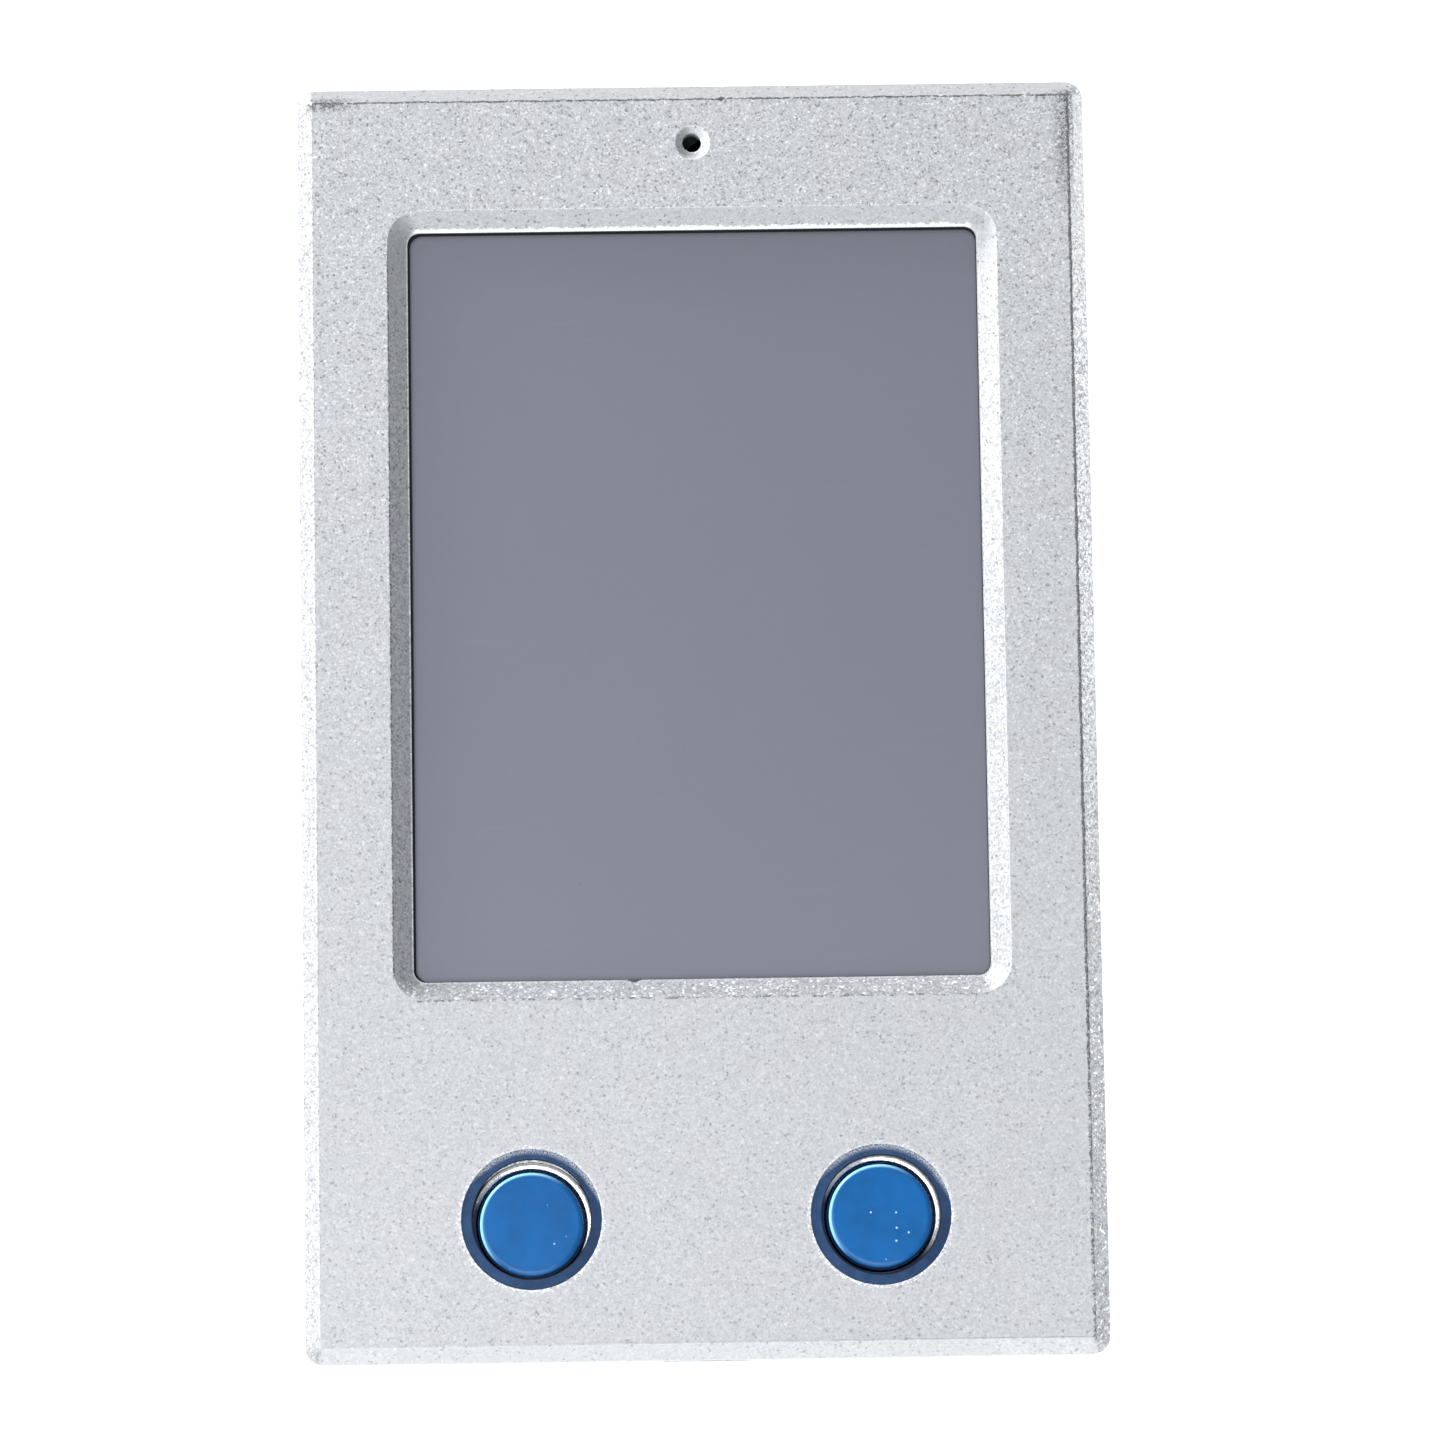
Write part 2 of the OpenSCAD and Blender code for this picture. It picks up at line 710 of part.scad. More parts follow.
module speaker_frame() color([0.7, 0.71, 0.72]) {
    z = speaker_low;
    translate([0, speaker_y, z]) rotate_extrude() polygon([
        [8.7, 0], [speaker_r, 0], [speaker_r, 1], [9, 1.2], [7, 2.8], [5.2, 2.8],
        [5.2, 2.4], [6.8, 2.4], [8.7, 0.8]
    ]);
}

module speaker_cone() color([0.15, 0.15, 0.16]) {
    translate([0, speaker_y, speaker_low]) rotate_extrude() polygon([
        [0, 0.1], [3, 0.5], [3.4, 0.9], [6.8, 0.3], [7.6, 0.1], [8.6, 0.3],
        [8.6, 0.45], [7.6, 0.25], [6.8, 0.45], [3.4, 1.05], [2.8, 0.65], [0, 0.25]
    ]);
}

module speaker_magnet() color([0.45, 0.45, 0.47]) {
    disc(5.1, speaker_low + 1.4, speaker_low + 3.8, 0, speaker_y);
}

// Two leaf springs from the board down to the rim of the speaker's frame
module speaker_springs() color([0.85, 0.7, 0.35]) {
    t = 0.2;
    foot = speaker_low + 1.2;
    knee = speaker_low + 3.2;
    for (i = SIDES)
        translate([i * 5.5, speaker_y, 0]) rotate([90, 0, 90]) linear_extrude(1, center = true)
            polygon([
                [7.5, foot], [8.2, foot], [8.2, foot + t], [7.7, foot + t], [7.7, knee],
                [5.6, board_low], [3.4, board_low], [3.4, board_low - t], [5.5, board_low - t],
                [7.5, knee - 0.1]
            ]);
}

// ---- Battery ----

module battery_cell() color([0.75, 0.77, 0.8]) {
    l = battery_l - end_cap_l;
    r = 1.2;
    y = battery_y0 + l / 2;
    translate([0, y + l / 2, battery_z + battery_t / 2]) rotate([90, 0, 0])
        rounded_block(battery_w, battery_t, r, 0, l);
}

module battery_end_cap() color([0.1, 0.1, 0.11]) {
    difference() {
        block(battery_w, end_cap_l, battery_z, battery_z + battery_t, 0, battery_y1 - end_cap_l / 2);
        for (x = contact_at)
            block(2.4, 0.4, battery_z + 1.2, battery_z + 4, x, battery_y1);
    }
}

module battery_terminals() color([0.86, 0.7, 0.3]) {
    for (x = contact_at)
        block(2.3, 0.1, battery_z + 1.25, battery_z + 3.95, x, battery_y1 - 0.15);
}

module contact_block() color([0.1, 0.1, 0.11]) {
    difference() {
        block(12, 2.5, shelf_top + gap, bay_roof_z + bay_roof_t, 0, bay_y1 + 1.3);
        for (x = contact_at)
            block(1.6, 1.2, shelf_top, bay_roof_z + bay_roof_t + cut, x, bay_y1 + 0.5);
    }
}

// Spring blades that press on the battery's terminals and reach up to the board
module battery_contacts() color([0.86, 0.7, 0.3]) {
    t = 0.2;
    y = bay_y1 + 0.9;
    tip = battery_y1 - 0.08;
    z = battery_z + 2.6;
    for (x = contact_at)
        translate([x, 0, 0]) rotate([90, 0, 90]) linear_extrude(1.2, center = true) polygon([
            [y, board_low], [y - t, board_low], [y - t, z + 2], [tip, z + 0.3], [tip, z - 0.3],
            [y - t, z - 1.4], [y, z - 1.4], [tip + t, z - 0.2], [tip + t, z + 0.2], [y, z + 1.8]
        ]);
}

// ---- Socket ----

module sync_socket_shell() color([0.78, 0.79, 0.8]) {
    w = socket_wall;
    difference() {
        block(socket_w, socket_y1 - socket_y0, board_top, board_top + socket_h,
            0, (socket_y0 + socket_y1) / 2);
        block(socket_w - 2 * w, socket_y1 - socket_y0 - w + cut, board_top + w,
            board_top + socket_h - w, 0, (socket_y0 + socket_y1 - w - cut) / 2);
    }
}

module sync_socket_tongue() color([0.1, 0.1, 0.11]) {
    z = board_top + socket_wall;
    inside = socket_w - 2 * socket_wall;
    block(inside, 2.5, z, z + socket_h - 2 * socket_wall, 0, socket_y1 - socket_wall - 1.25);
    block(5, 5, z + 1.2, z + 2, 0, socket_y1 - socket_wall - 4.9);
}

module sync_socket_pins() color([0.86, 0.7, 0.3]) {
    z = board_top + socket_wall + 1.2;
    for (k = [-2:2]) block(0.4, 4.2, z - 0.12, z, 0.8 * k, socket_y1 - socket_wall - 4.6);
}

// ---- Fasteners ----

module case_screws() color([0.62, 0.63, 0.65]) {
    at_case_screws() screw(case_screw_r - 0.02, case_screw_l, case_head_r, case_head_t, case_seat_z);
}

module board_screws() color([0.62, 0.63, 0.65]) {
    at_board_screws()
        screw(board_screw_r - 0.02, board_screw_l, board_head_r, board_head_t, board_low);
}

front_cover();
rear_cover();
battery_door();
window_gasket();
button_ring(-1);  // button_ring_left
button_ring(1);  // button_ring_right
button_collar(-1);  // button_collar_left
button_collar(1);  // button_collar_right
button_cap(-1);  // button_cap_left
button_cap(1);  // button_cap_right
switch_housing(-1);  // switch_housing_left
switch_housing(1);  // switch_housing_right
switch_cover(-1);  // switch_cover_left
switch_cover(1);  // switch_cover_right
switch_plunger(-1);  // switch_plunger_left
switch_plunger(1);  // switch_plunger_right
switch_dome(-1);  // switch_dome_left
switch_dome(1);  // switch_dome_right
switch_pins();
touch_panel();
touch_flex();
touch_connector();
lcd_bezel();
lcd_panel();
diffuser_sheet();
light_guide();
reflector_sheet();
backlight_frame();
backlight_leds();
lcd_flex();
display_connector();
display_pads();
main_board();
processor_chip();
memory_chips();
power_chip();
audio_chip();
crystal();
inductors();
chip_passives();
microphone();
microphone_boot();
microphone_felt();
speaker_cloth();
speaker_gasket();
speaker_frame();
speaker_cone();
speaker_magnet();
speaker_springs();
battery_cell();
battery_end_cap();
battery_terminals();
contact_block();
battery_contacts();
sync_socket_shell();
sync_socket_tongue();
sync_socket_pins();
case_screws();
board_screws();
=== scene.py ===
"""Looks for the handheld personal digital assistant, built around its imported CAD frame."""

import json
import math

import bpy
from mathutils import Matrix, Vector


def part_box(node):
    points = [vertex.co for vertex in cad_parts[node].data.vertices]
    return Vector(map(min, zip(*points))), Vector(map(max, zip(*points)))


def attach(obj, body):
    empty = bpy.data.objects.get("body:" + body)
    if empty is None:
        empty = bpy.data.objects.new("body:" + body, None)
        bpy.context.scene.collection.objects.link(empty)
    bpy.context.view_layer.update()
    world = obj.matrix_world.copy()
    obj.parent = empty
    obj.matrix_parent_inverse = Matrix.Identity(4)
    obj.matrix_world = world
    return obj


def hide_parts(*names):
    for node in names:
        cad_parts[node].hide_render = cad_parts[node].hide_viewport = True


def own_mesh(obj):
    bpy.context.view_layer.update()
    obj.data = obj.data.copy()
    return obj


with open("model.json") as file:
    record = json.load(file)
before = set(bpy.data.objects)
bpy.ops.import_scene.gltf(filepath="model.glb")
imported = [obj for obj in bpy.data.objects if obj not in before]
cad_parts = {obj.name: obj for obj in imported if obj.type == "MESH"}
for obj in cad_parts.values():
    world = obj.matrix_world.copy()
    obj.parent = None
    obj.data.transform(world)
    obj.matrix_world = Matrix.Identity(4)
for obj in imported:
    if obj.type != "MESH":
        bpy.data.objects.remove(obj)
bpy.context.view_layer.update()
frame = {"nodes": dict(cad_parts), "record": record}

MM = 0.001
NODES = frame["nodes"]
RECORD = frame["record"]
SIDES = ("left", "right")
FACE_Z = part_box("front_cover")[1].z
FACE_MM = FACE_Z / MM
CASE_BEVEL = 1.5  # mm, the bevel round the case's face
WINDOW_BEVEL = 1.87  # mm, the bevel round the window
PANEL_BORDER = (4.55, 7.2)  # mm, how far the touch panel runs on beside and below the window
PANEL_BORDER_TOP = 4  # mm, the same above the window
# The ridges and the window's edges, in mm; the names that end in IN are its inner edges
RIDGE_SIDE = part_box("front_cover")[1].x / MM - CASE_BEVEL
RIDGE_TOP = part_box("front_cover")[1].y / MM - CASE_BEVEL
WINDOW_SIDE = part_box("touch_panel")[1].x / MM - PANEL_BORDER[0] + WINDOW_BEVEL
WINDOW_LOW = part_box("touch_panel")[0].y / MM + PANEL_BORDER[1] - WINDOW_BEVEL
WINDOW_TOP_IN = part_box("touch_panel")[1].y / MM - PANEL_BORDER_TOP
WINDOW_SIDE_IN = WINDOW_SIDE - WINDOW_BEVEL
WINDOW_LOW_IN = WINDOW_LOW + WINDOW_BEVEL
PAINT_RUN = (-45, 58)  # mm along the case, from smooth paint to coarse paint
FLAKE_TILT = 0.12  # how far the paint's flakes lean
RING_WAY = (0.17, 0.98, 0)  # the side of a ring where the paint overspray is widest
CAP_R = 4.88  # mm, the visible head of a button's cap
RING_IN_R = 5.6  # mm, a button ring's inner wall


# ---- Shader helpers ----


class Graph:
    """One procedural material. Its coordinates are the row frame's, in millimetres."""

    def __init__(self, name, **constants):
        self.material = bpy.data.materials.new(name)
        self.material.use_nodes = True
        self.tree = self.material.node_tree
        self.shader = next(n for n in self.tree.nodes if n.type == "BSDF_PRINCIPLED")
        for socket, value in constants.items():
            self.shader.inputs[socket.replace("_", " ")].default_value = value
        place = self.add("ShaderNodeTexCoord")
        self.mm = self.vector("SCALE", place.outputs["Object"], Scale=1 / MM)

    def add(self, kind, sockets=None, **settings):
        node = self.tree.nodes.new(kind)
        for key, value in settings.items():
            setattr(node, key, value)
        for key, value in (sockets or {}).items():
            self.put(node.inputs[key], value)
        return node

    def put(self, socket, value):
        if isinstance(value, bpy.types.NodeSocket):
            self.tree.links.new(value, socket)
        elif isinstance(value, tuple) and len(value) == 3 and socket.type == "RGBA":
            socket.default_value = (*value, 1)
        else:
            socket.default_value = value

    def set(self, **sockets):
        for key, value in sockets.items():
            self.put(self.shader.inputs[key.replace("_", " ")], value)

    def vector(self, operation, a, b=None, **named):
        node = self.add("ShaderNodeVectorMath", operation=operation)
        self.put(node.inputs[0], a)
        if b is not None:
            self.put(node.inputs[1], b)
        for key, value in named.items():
            self.put(node.inputs[key], value)
        return node.outputs["Value" if operation in ("LENGTH", "DOT_PRODUCT") else "Vector"]

    def math(self, operation, a, b=0.0):
        node = self.add("ShaderNodeMath", operation=operation)
        self.put(node.inputs[0], a)
        self.put(node.inputs[1], b)
        return node.outputs[0]

    def times(self, first, *others):
        for other in others:
            first = self.math("MULTIPLY", first, other)
        return first

    def largest(self, first, *others):
        for other in others:
            first = self.math("MAXIMUM", first, other)
        return first

    def size(self, value):
        return self.math("ABSOLUTE", value)

    def range(self, value, low, high, to_low=0.0, to_high=1.0, smooth=True):
        kind = "SMOOTHSTEP" if smooth else "LINEAR"
        node = self.add("ShaderNodeMapRange", interpolation_type=kind)
        for index, number in enumerate((value, low, high, to_low, to_high)):
            self.put(node.inputs[index], number)
        return node.outputs[0]

    def mix(self, factor, a, b):
        node = self.add("ShaderNodeMix", data_type="RGBA")
        self.put(node.inputs[0], factor)
        self.put(node.inputs[6], a)
        self.put(node.inputs[7], b)
        return node.outputs[2]

    def split(self, vector):
        return self.add("ShaderNodeSeparateXYZ", {"Vector": vector}).outputs

    def noise(self, scale, detail=2.0, roughness=0.5, stretch=None):
        where = self.vector("MULTIPLY", self.mm, stretch) if stretch else self.mm
        sockets = {"Vector": where, "Scale": scale, "Detail": detail, "Roughness": roughness}
        return self.add("ShaderNodeTexNoise", sockets).outputs[0]

    def cells(self, scale, at=None):
        """(distance to the nearest cell point in cell sizes, that cell's random number)"""
        node = self.add("ShaderNodeTexVoronoi", {"Vector": at or self.mm, "Scale": scale})
        number = self.add("ShaderNodeSeparateColor", {"Color": node.outputs["Color"]}).outputs[0]
        return node.outputs["Distance"], number

    def specks(self, scale, radius, share, soft):
        """Small round spots, one in each of some of the cells of a scattered grid."""
        distance, number = self.cells(scale)
        spot = self.range(distance, radius, radius - soft)
        return self.times(spot, self.math("LESS_THAN", number, share))

    def pushed(self, vector, texture, reach):
        """A vector pushed aside by a texture's colour, by up to half the reach."""
        push = self.vector("SUBTRACT", texture.outputs["Color"], (0.5, 0.5, 0.5))
        return self.vector("ADD", vector, self.vector("SCALE", push, Scale=reach))

    def facets(self, scale, tilt, below):
        """Flakes: the surface tips a little, its own way in every cell of a crowded pattern."""
        node = self.add("ShaderNodeTexVoronoi", {"Vector": self.mm, "Scale": scale})
        return self.vector("NORMALIZE", self.pushed(below, node, tilt))

    def bump(self, height, distance, strength=1.0, below=None):
        sockets = {"Height": height, "Distance": distance * MM, "Strength": strength}
        if below is not None:
            sockets["Normal"] = below
        return self.add("ShaderNodeBump", sockets).outputs["Normal"]


def scaled(colour, k):
    return tuple(min(1.0, c * k) for c in colour)


# ---- Materials ----


def flecks(g, scale, dark, bright, shift):
    """Two masks for ragged flakes: the darkest and the brightest cells of a crowded pattern."""
    where = g.vector("ADD", g.mm, (shift, shift, shift))
    wander = g.add("ShaderNodeTexNoise", {"Vector": where, "Scale": scale * 1.6})
    number = g.cells(scale, at=g.pushed(where, wander, 1 / scale))[1]
    return g.range(number, dark, dark * 0.3), g.range(number, 1 - bright, 1 - bright * 0.3)


def radius_mm(node):
    low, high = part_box(node)
    return (high.x - low.x) / 2 / MM


def round_zone(g, node, way):
    """(distance from a round node's axis in its radii, how far that point lies the given way)"""
    low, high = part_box(node)
    flat = g.vector("MULTIPLY", g.vector("SUBTRACT", g.mm, tuple((low + high) / 2 / MM)), (1, 1, 0))
    reach = g.math("DIVIDE", g.vector("LENGTH", flat), radius_mm(node))
    return reach, g.vector("DOT_PRODUCT", g.vector("NORMALIZE", flat), way)


def silver_paint(name, tone, grime=0.0, with_painted_light=False):
    """Metallic silver paint: tilted flakes under a thin binder, with dark and bright flecks. On the
    front cover it also carries painted light and shade.
    """
    g = Graph(name, Metallic=0.55, Specular_IOR_Level=0.45, Coat_Weight=0.12, Coat_Roughness=0.35)
    grain = g.noise(4.4, detail=4, roughness=0.8)
    warm = (tone[0] * 1.005, tone[1] * 0.995, tone[2])
    cool = (tone[0] * 0.995, tone[1] * 1.004, tone[2])
    colour = g.mix(g.range(g.noise(0.16, detail=3, roughness=0.6), 0.4, 0.6), warm, cool)
    cloud = g.range(g.noise(0.05, detail=2), 0.35, 0.65, 0.0, 0.25)
    colour = g.mix(cloud, colour, scaled(tone, 0.93))
    x, y, z = g.split(g.mm)
    coarse = g.range(y, *PAINT_RUN, 0.34, 1.0)
    # On the front cover: painted shade and painted highlights by place, and a calmer speckle on the
    # inner bevels
    if with_painted_light:
        slope = g.range(z, FACE_MM - 0.12, FACE_MM - 0.02, 1.0, 0.0)  # all that lies below the face
        inner = g.times(slope, g.math("LESS_THAN", g.size(x), WINDOW_SIDE))
        colour = light_and_shade_by_place(g, colour, tone, slope, inner)
        calm = g.largest(inner, g.range(y, RIDGE_TOP, RIDGE_TOP + 0.1))
        sides = g.range(g.size(x), RIDGE_SIDE + 0.1, RIDGE_SIDE + 0.2, 0.0, 1.3)
        coarse = g.largest(g.times(coarse, g.range(calm, 0.0, 1.0, 1.0, 0.35)), sides)
    swing = g.times(g.range(grain, 0.3, 0.7, -0.22, 0.2, smooth=False), coarse)
    colour = g.vector("SCALE", colour, Scale=g.math("ADD", swing, 1.0))
    fine_low, fine_high = flecks(g, 6.5, 0.16, 0.16, 0.0)
    colour = g.mix(g.times(coarse, 0.45, fine_low), colour, scaled(tone, 0.3))
    colour = g.mix(g.times(coarse, 0.5, fine_high), colour, scaled(tone, 1.6))
    low, high = flecks(g, 4.8, 0.05, 0.03, 37.0)
    low = g.times(low, g.range(y, *PAINT_RUN, 0.42, 0.62))
    colour = g.mix(low, colour, scaled(tone, 0.25))
    colour = g.mix(g.times(coarse, 0.6, high), colour, scaled(tone, 1.7))
    if grime:
        smudge = g.range(g.noise(0.35, detail=4, roughness=0.7), 0.5, 0.75, 0.0, grime)
        colour = g.mix(smudge, colour, scaled(tone, 0.6))
    tilt = FLAKE_TILT
    if with_painted_light:
        # Painted highlight on the paint lip round each button ring
        colour = g.mix(ring_lip_highlights(g), colour, scaled(tone, 1.9))
        # Painted highlight along the window's top edge
        colour = g.mix(g.times(window_lip_highlight(g), slope), colour, scaled(tone, 1.75))
        # Painted shade: dark broken lines along the ridges and the window's outer edge
        colour = g.mix(edge_shade(g), colour, scaled(tone, 0.12))
        below_top = g.range(y, 35, 47, 1.0, 0.0)
        colour = g.mix(g.times(glints(g), slope, below_top), colour, scaled(tone, 2.05))
        tilt = g.math("ADD", g.times(slope, below_top, 0.3), FLAKE_TILT)
    peel = g.bump(g.noise(2.2, detail=2), 0.02, 0.8)
    g.set(Base_Color=colour, Normal=g.facets(5.0, tilt, peel))
    g.set(Roughness=g.range(grain, 0.2, 0.8, 0.4, 0.56))
    return g.material


def light_and_shade_by_place(g, colour, tone, slope, inner):
    """Painted shade on the bevels and the left side, a painted highlight on the right window bevel,
    and painted light and shade in the small hole, lighter on its right.
    """
    x, y, _ = g.split(g.mm)
    # Painted shade on the bevels below the face
    colour = g.mix(inner, colour, scaled(tone, 0.96))
    # Painted shade on the top bevel
    top_bevel = g.range(y, RIDGE_TOP, RIDGE_TOP + 0.1)
    colour = g.mix(g.times(top_bevel, 0.9), colour, scaled(tone, 0.74))
    # Painted light and shade in the small hole's countersink, lighter on its right
    reach, towards = round_zone(g, "microphone", (0.96, -0.28, 0))
    hole = g.times(g.math("LESS_THAN", reach, 0.9), slope)
    shade = g.range(towards, -0.6, 0.7, 0.78, 1.5)
    colour = g.mix(hole, colour, g.vector("SCALE", tone, Scale=shade))
    # Painted highlight on the right window bevel
    right_bevel = g.times(g.range(x, WINDOW_SIDE_IN, WINDOW_SIDE_IN + 0.2), inner)
    along = g.times(g.range(y, 0, 30, 0.35, 1.0), g.range(y, 44, 46, 1.0, 0.0))
    colour = g.mix(g.times(right_bevel, along), colour, scaled(tone, 1.12))
    # Painted shade on the left side
    left_side = g.range(x, -RIDGE_SIDE - 0.2, -RIDGE_SIDE - 0.05, 1.0, 0.0)
    return g.mix(left_side, colour, scaled(tone, 0.86))


def ring_lip_highlights(g):
    """The ragged, broken lip of paint round each button ring, painted lighter as a highlight,
    stronger towards the button end.
    """
    lips = []
    for side in SIDES:
        reach, towards = round_zone(g, "button_ring_" + side, RING_WAY)
        ragged = g.math("ADD", reach, g.range(g.noise(3.5, 4, 0.8), 0.3, 0.7, -0.055, 0.055))
        lip = g.times(g.range(ragged, 1.045, 1.015), g.range(g.noise(3.6, 4, 0.8), 0.44, 0.54))
        lips.append(g.times(lip, g.range(towards, -0.1, 0.6, 0.95, 0.45)))
    return g.largest(*lips)


def window_lip_highlight(g):
    """A painted highlight: a bright ragged line along the window's top edge, ending short of its
    corners.
    """
    x, y, _ = g.split(g.mm)
    ragged = g.math("SUBTRACT", y, g.range(g.noise(1.9, 4, 0.8), 0.3, 0.7, 0.12, 0.42))
    lip = g.range(ragged, WINDOW_TOP_IN, WINDOW_TOP_IN + 0.1, 1.0, 0.0)
    lip = g.times(lip, g.range(y, WINDOW_TOP_IN - 0.6, WINDOW_TOP_IN - 0.5))
    ends = g.range(g.size(x), WINDOW_SIDE_IN - 0.9, WINDOW_SIDE_IN - 0.3, 1.0, 0.0)
    return g.times(lip, ends, 0.9)


def glints(g):
    """Bright flakes on the bevels: many from the window's lower edge down, none at either end."""
    x, y, z = g.split(g.mm)
    share = g.range(y, WINDOW_LOW_IN, WINDOW_LOW_IN + 0.3, 0.9, 0.15)
    share = g.times(share, g.range(y, -RIDGE_TOP, -RIDGE_TOP + 0.2))
    share = g.times(share, g.range(z, FACE_MM - CASE_BEVEL - 0.2, FACE_MM - CASE_BEVEL))
    return g.times(flecks(g, 4.6, 0.05, 0.1, 11.0)[1], share)


def edge_shade(g):
    """Painted shade: dark broken lines along the face's ridges and the window's outer edge, with
    dark blotches near the top corners and a few dark spots.
    """
    x, y, z = g.split(g.mm)
    wander = g.range(g.noise(0.8, detail=4, roughness=0.8), 0.25, 0.75, -0.07, 0.07)
    swell = g.range(g.noise(1.3, detail=4, roughness=0.9), 0.3, 0.7, 0.6, 1.5)
    broken = g.noise(2.6, detail=4, roughness=0.8)
    dots = g.range(g.noise(6.5, detail=3, roughness=0.8), 0.35, 0.51, 0.2, 1.0)

    def line(along, centre, half_width, gap):
        off = g.size(g.math("ADD", g.math("SUBTRACT", along, centre), wander))
        body = g.range(g.math("DIVIDE", off, swell), half_width, half_width * 0.4)
        return g.times(body, dots, g.range(g.math("SUBTRACT", broken, gap), 0.0, 0.1))

    def spot(at, size):
        across = g.math("DIVIDE", g.math("SUBTRACT", x, at[0]), size[0])
        up = g.math("DIVIDE", g.math("SUBTRACT", y, at[1]), size[1])
        skew = g.math("SUBTRACT", up, g.times(across, 0.3))
        return g.range(g.math("ADD", g.size(across), g.size(skew)), 1.0, 0.8)

    right_ridge = line(x, RIDGE_SIDE - 0.08, 0.19, g.range(y, -60, 5, 0.46, 0.3))
    top_ridge = line(y, RIDGE_TOP - 0.05, 0.13, 0.37)
    left_ridge = g.times(line(x, -RIDGE_SIDE, 0.09, 0.48), 0.6)
    rim = g.range(y, RIDGE_TOP - 1.3, RIDGE_TOP - 0.3)
    left_corner = g.times(g.range(x, 5 - RIDGE_SIDE, 2 - RIDGE_SIDE), rim)
    right_corner = g.times(g.range(x, RIDGE_SIDE - 2.0, RIDGE_SIDE - 0.5), g.range(y, 46, 56))
    blotch = g.range(g.noise(3.2, detail=3, roughness=0.8), 0.4, 0.58)
    corners = g.times(g.largest(left_corner, right_corner), blotch, dots)
    nick = spot((3.0, RIDGE_TOP - 0.05), (0.5, 0.3))
    outside = g.largest(right_ridge, top_ridge, left_ridge, corners, nick)
    outside = g.times(outside, g.range(z, FACE_MM - 0.6, FACE_MM - 0.3))

    wide = g.range(g.size(x), WINDOW_SIDE - 2.6, WINDOW_SIDE - 1.6, 1.0, 0.0)
    lower = g.times(line(y, WINDOW_LOW - 0.02, 0.12, 0.46), wide)
    tall = g.times(g.range(y, WINDOW_LOW + 1.6, WINDOW_LOW + 2.6), g.range(y, 46, 44))
    left = g.times(line(x, -WINDOW_SIDE, 0.1, 0.42), tall)
    chip = spot((-6.4, WINDOW_LOW_IN), (0.9, 0.32))
    return g.times(g.largest(outside, g.times(g.largest(lower, left), 0.85), chip), 0.92)


def cap_plastic(name, tone):
    """Semi-gloss moulded plastic with a faint grain, a few grains of dust, and a painted highlight
    on each head's upper-left rim.
    """
    g = Graph(name, Specular_IOR_Level=0.36)
    cloud = g.noise(0.35, detail=3)
    colour = g.mix(g.range(cloud, 0.3, 0.7), scaled(tone, 0.9), scaled(tone, 1.12))
    colour = g.mix(g.range(g.noise(6, detail=3), 0.35, 0.75, 0.0, 0.12), colour, scaled(tone, 1.6))
    dust = g.specks(0.8, 0.1, 0.5, soft=0.05)
    colour = g.mix(g.times(dust, 0.75), colour, (0.55, 0.75, 0.95))
    head = CAP_R / radius_mm("button_cap_left")
    above = g.range(g.split(g.mm)[2], FACE_MM, FACE_MM + 0.1)
    # Painted highlight on each head's upper-left rim
    for side in SIDES:
        reach, towards = round_zone(g, "button_cap_" + side, (-0.77, 0.64, 0))
        near = g.math("LESS_THAN", reach, head * 1.1)
        rim = g.times(g.range(reach, head * 0.93, head * 0.975), near)
        rim = g.times(rim, g.range(towards, -0.1, 0.7), above, 0.9)
        colour = g.mix(rim, colour, (0.3, 0.72, 0.95))
    skin = g.bump(g.noise(5, detail=2), 0.002, 0.5)
    g.set(Base_Color=colour, Normal=skin, Roughness=g.range(g.noise(1.3, 3), 0.3, 0.7, 0.18, 0.24))
    return g.material


def ring_plastic(name, tone, silver):
    """Dark blue plastic, dusted with silver where the case paint ran over its outer edge, with
    painted shade on its inner wall and its right side.
    """
    g = Graph(name, Specular_IOR_Level=0.17)
    cloud = g.noise(1.1, detail=4, roughness=0.65)
    colour = g.mix(g.range(cloud, 0.3, 0.7), scaled(tone, 0.85), scaled(tone, 1.2))
    inner = RING_IN_R / radius_mm("button_ring_left")
    sprays = []
    for side in SIDES:
        node = "button_ring_" + side
        reach, towards = round_zone(g, node, RING_WAY)
        # Painted shade on the ring's inner wall
        wall = g.range(reach, inner + 0.02, inner + 0.005)
        colour = g.mix(g.times(wall, 0.95), colour, scaled(tone, 0.05))
        near = g.math("LESS_THAN", reach, 1.2)
        # Painted shade on the ring's right side
        right_shade = g.range(round_zone(g, node, (1, 0, 0))[1], 0.2, 1.0, 0.0, 0.35)
        colour = g.mix(g.times(right_shade, near), colour, scaled(tone, 0.3))
        start = g.range(towards, 0.2, 0.7, 0.99, 0.9)
        sprays.append(g.times(g.range(g.math("SUBTRACT", reach, start), 0.0, 0.09), near))
    drops = g.range(g.noise(7, detail=3, roughness=0.8), 0.42, 0.57, 0.05, 0.95)
    colour = g.mix(g.times(g.largest(*sprays), drops), colour, silver)
    g.set(Base_Color=colour, Roughness=g.range(cloud, 0.2, 0.8, 0.28, 0.4))
    g.set(Normal=g.bump(g.noise(4, detail=3), 0.006, 0.6))
    return g.material


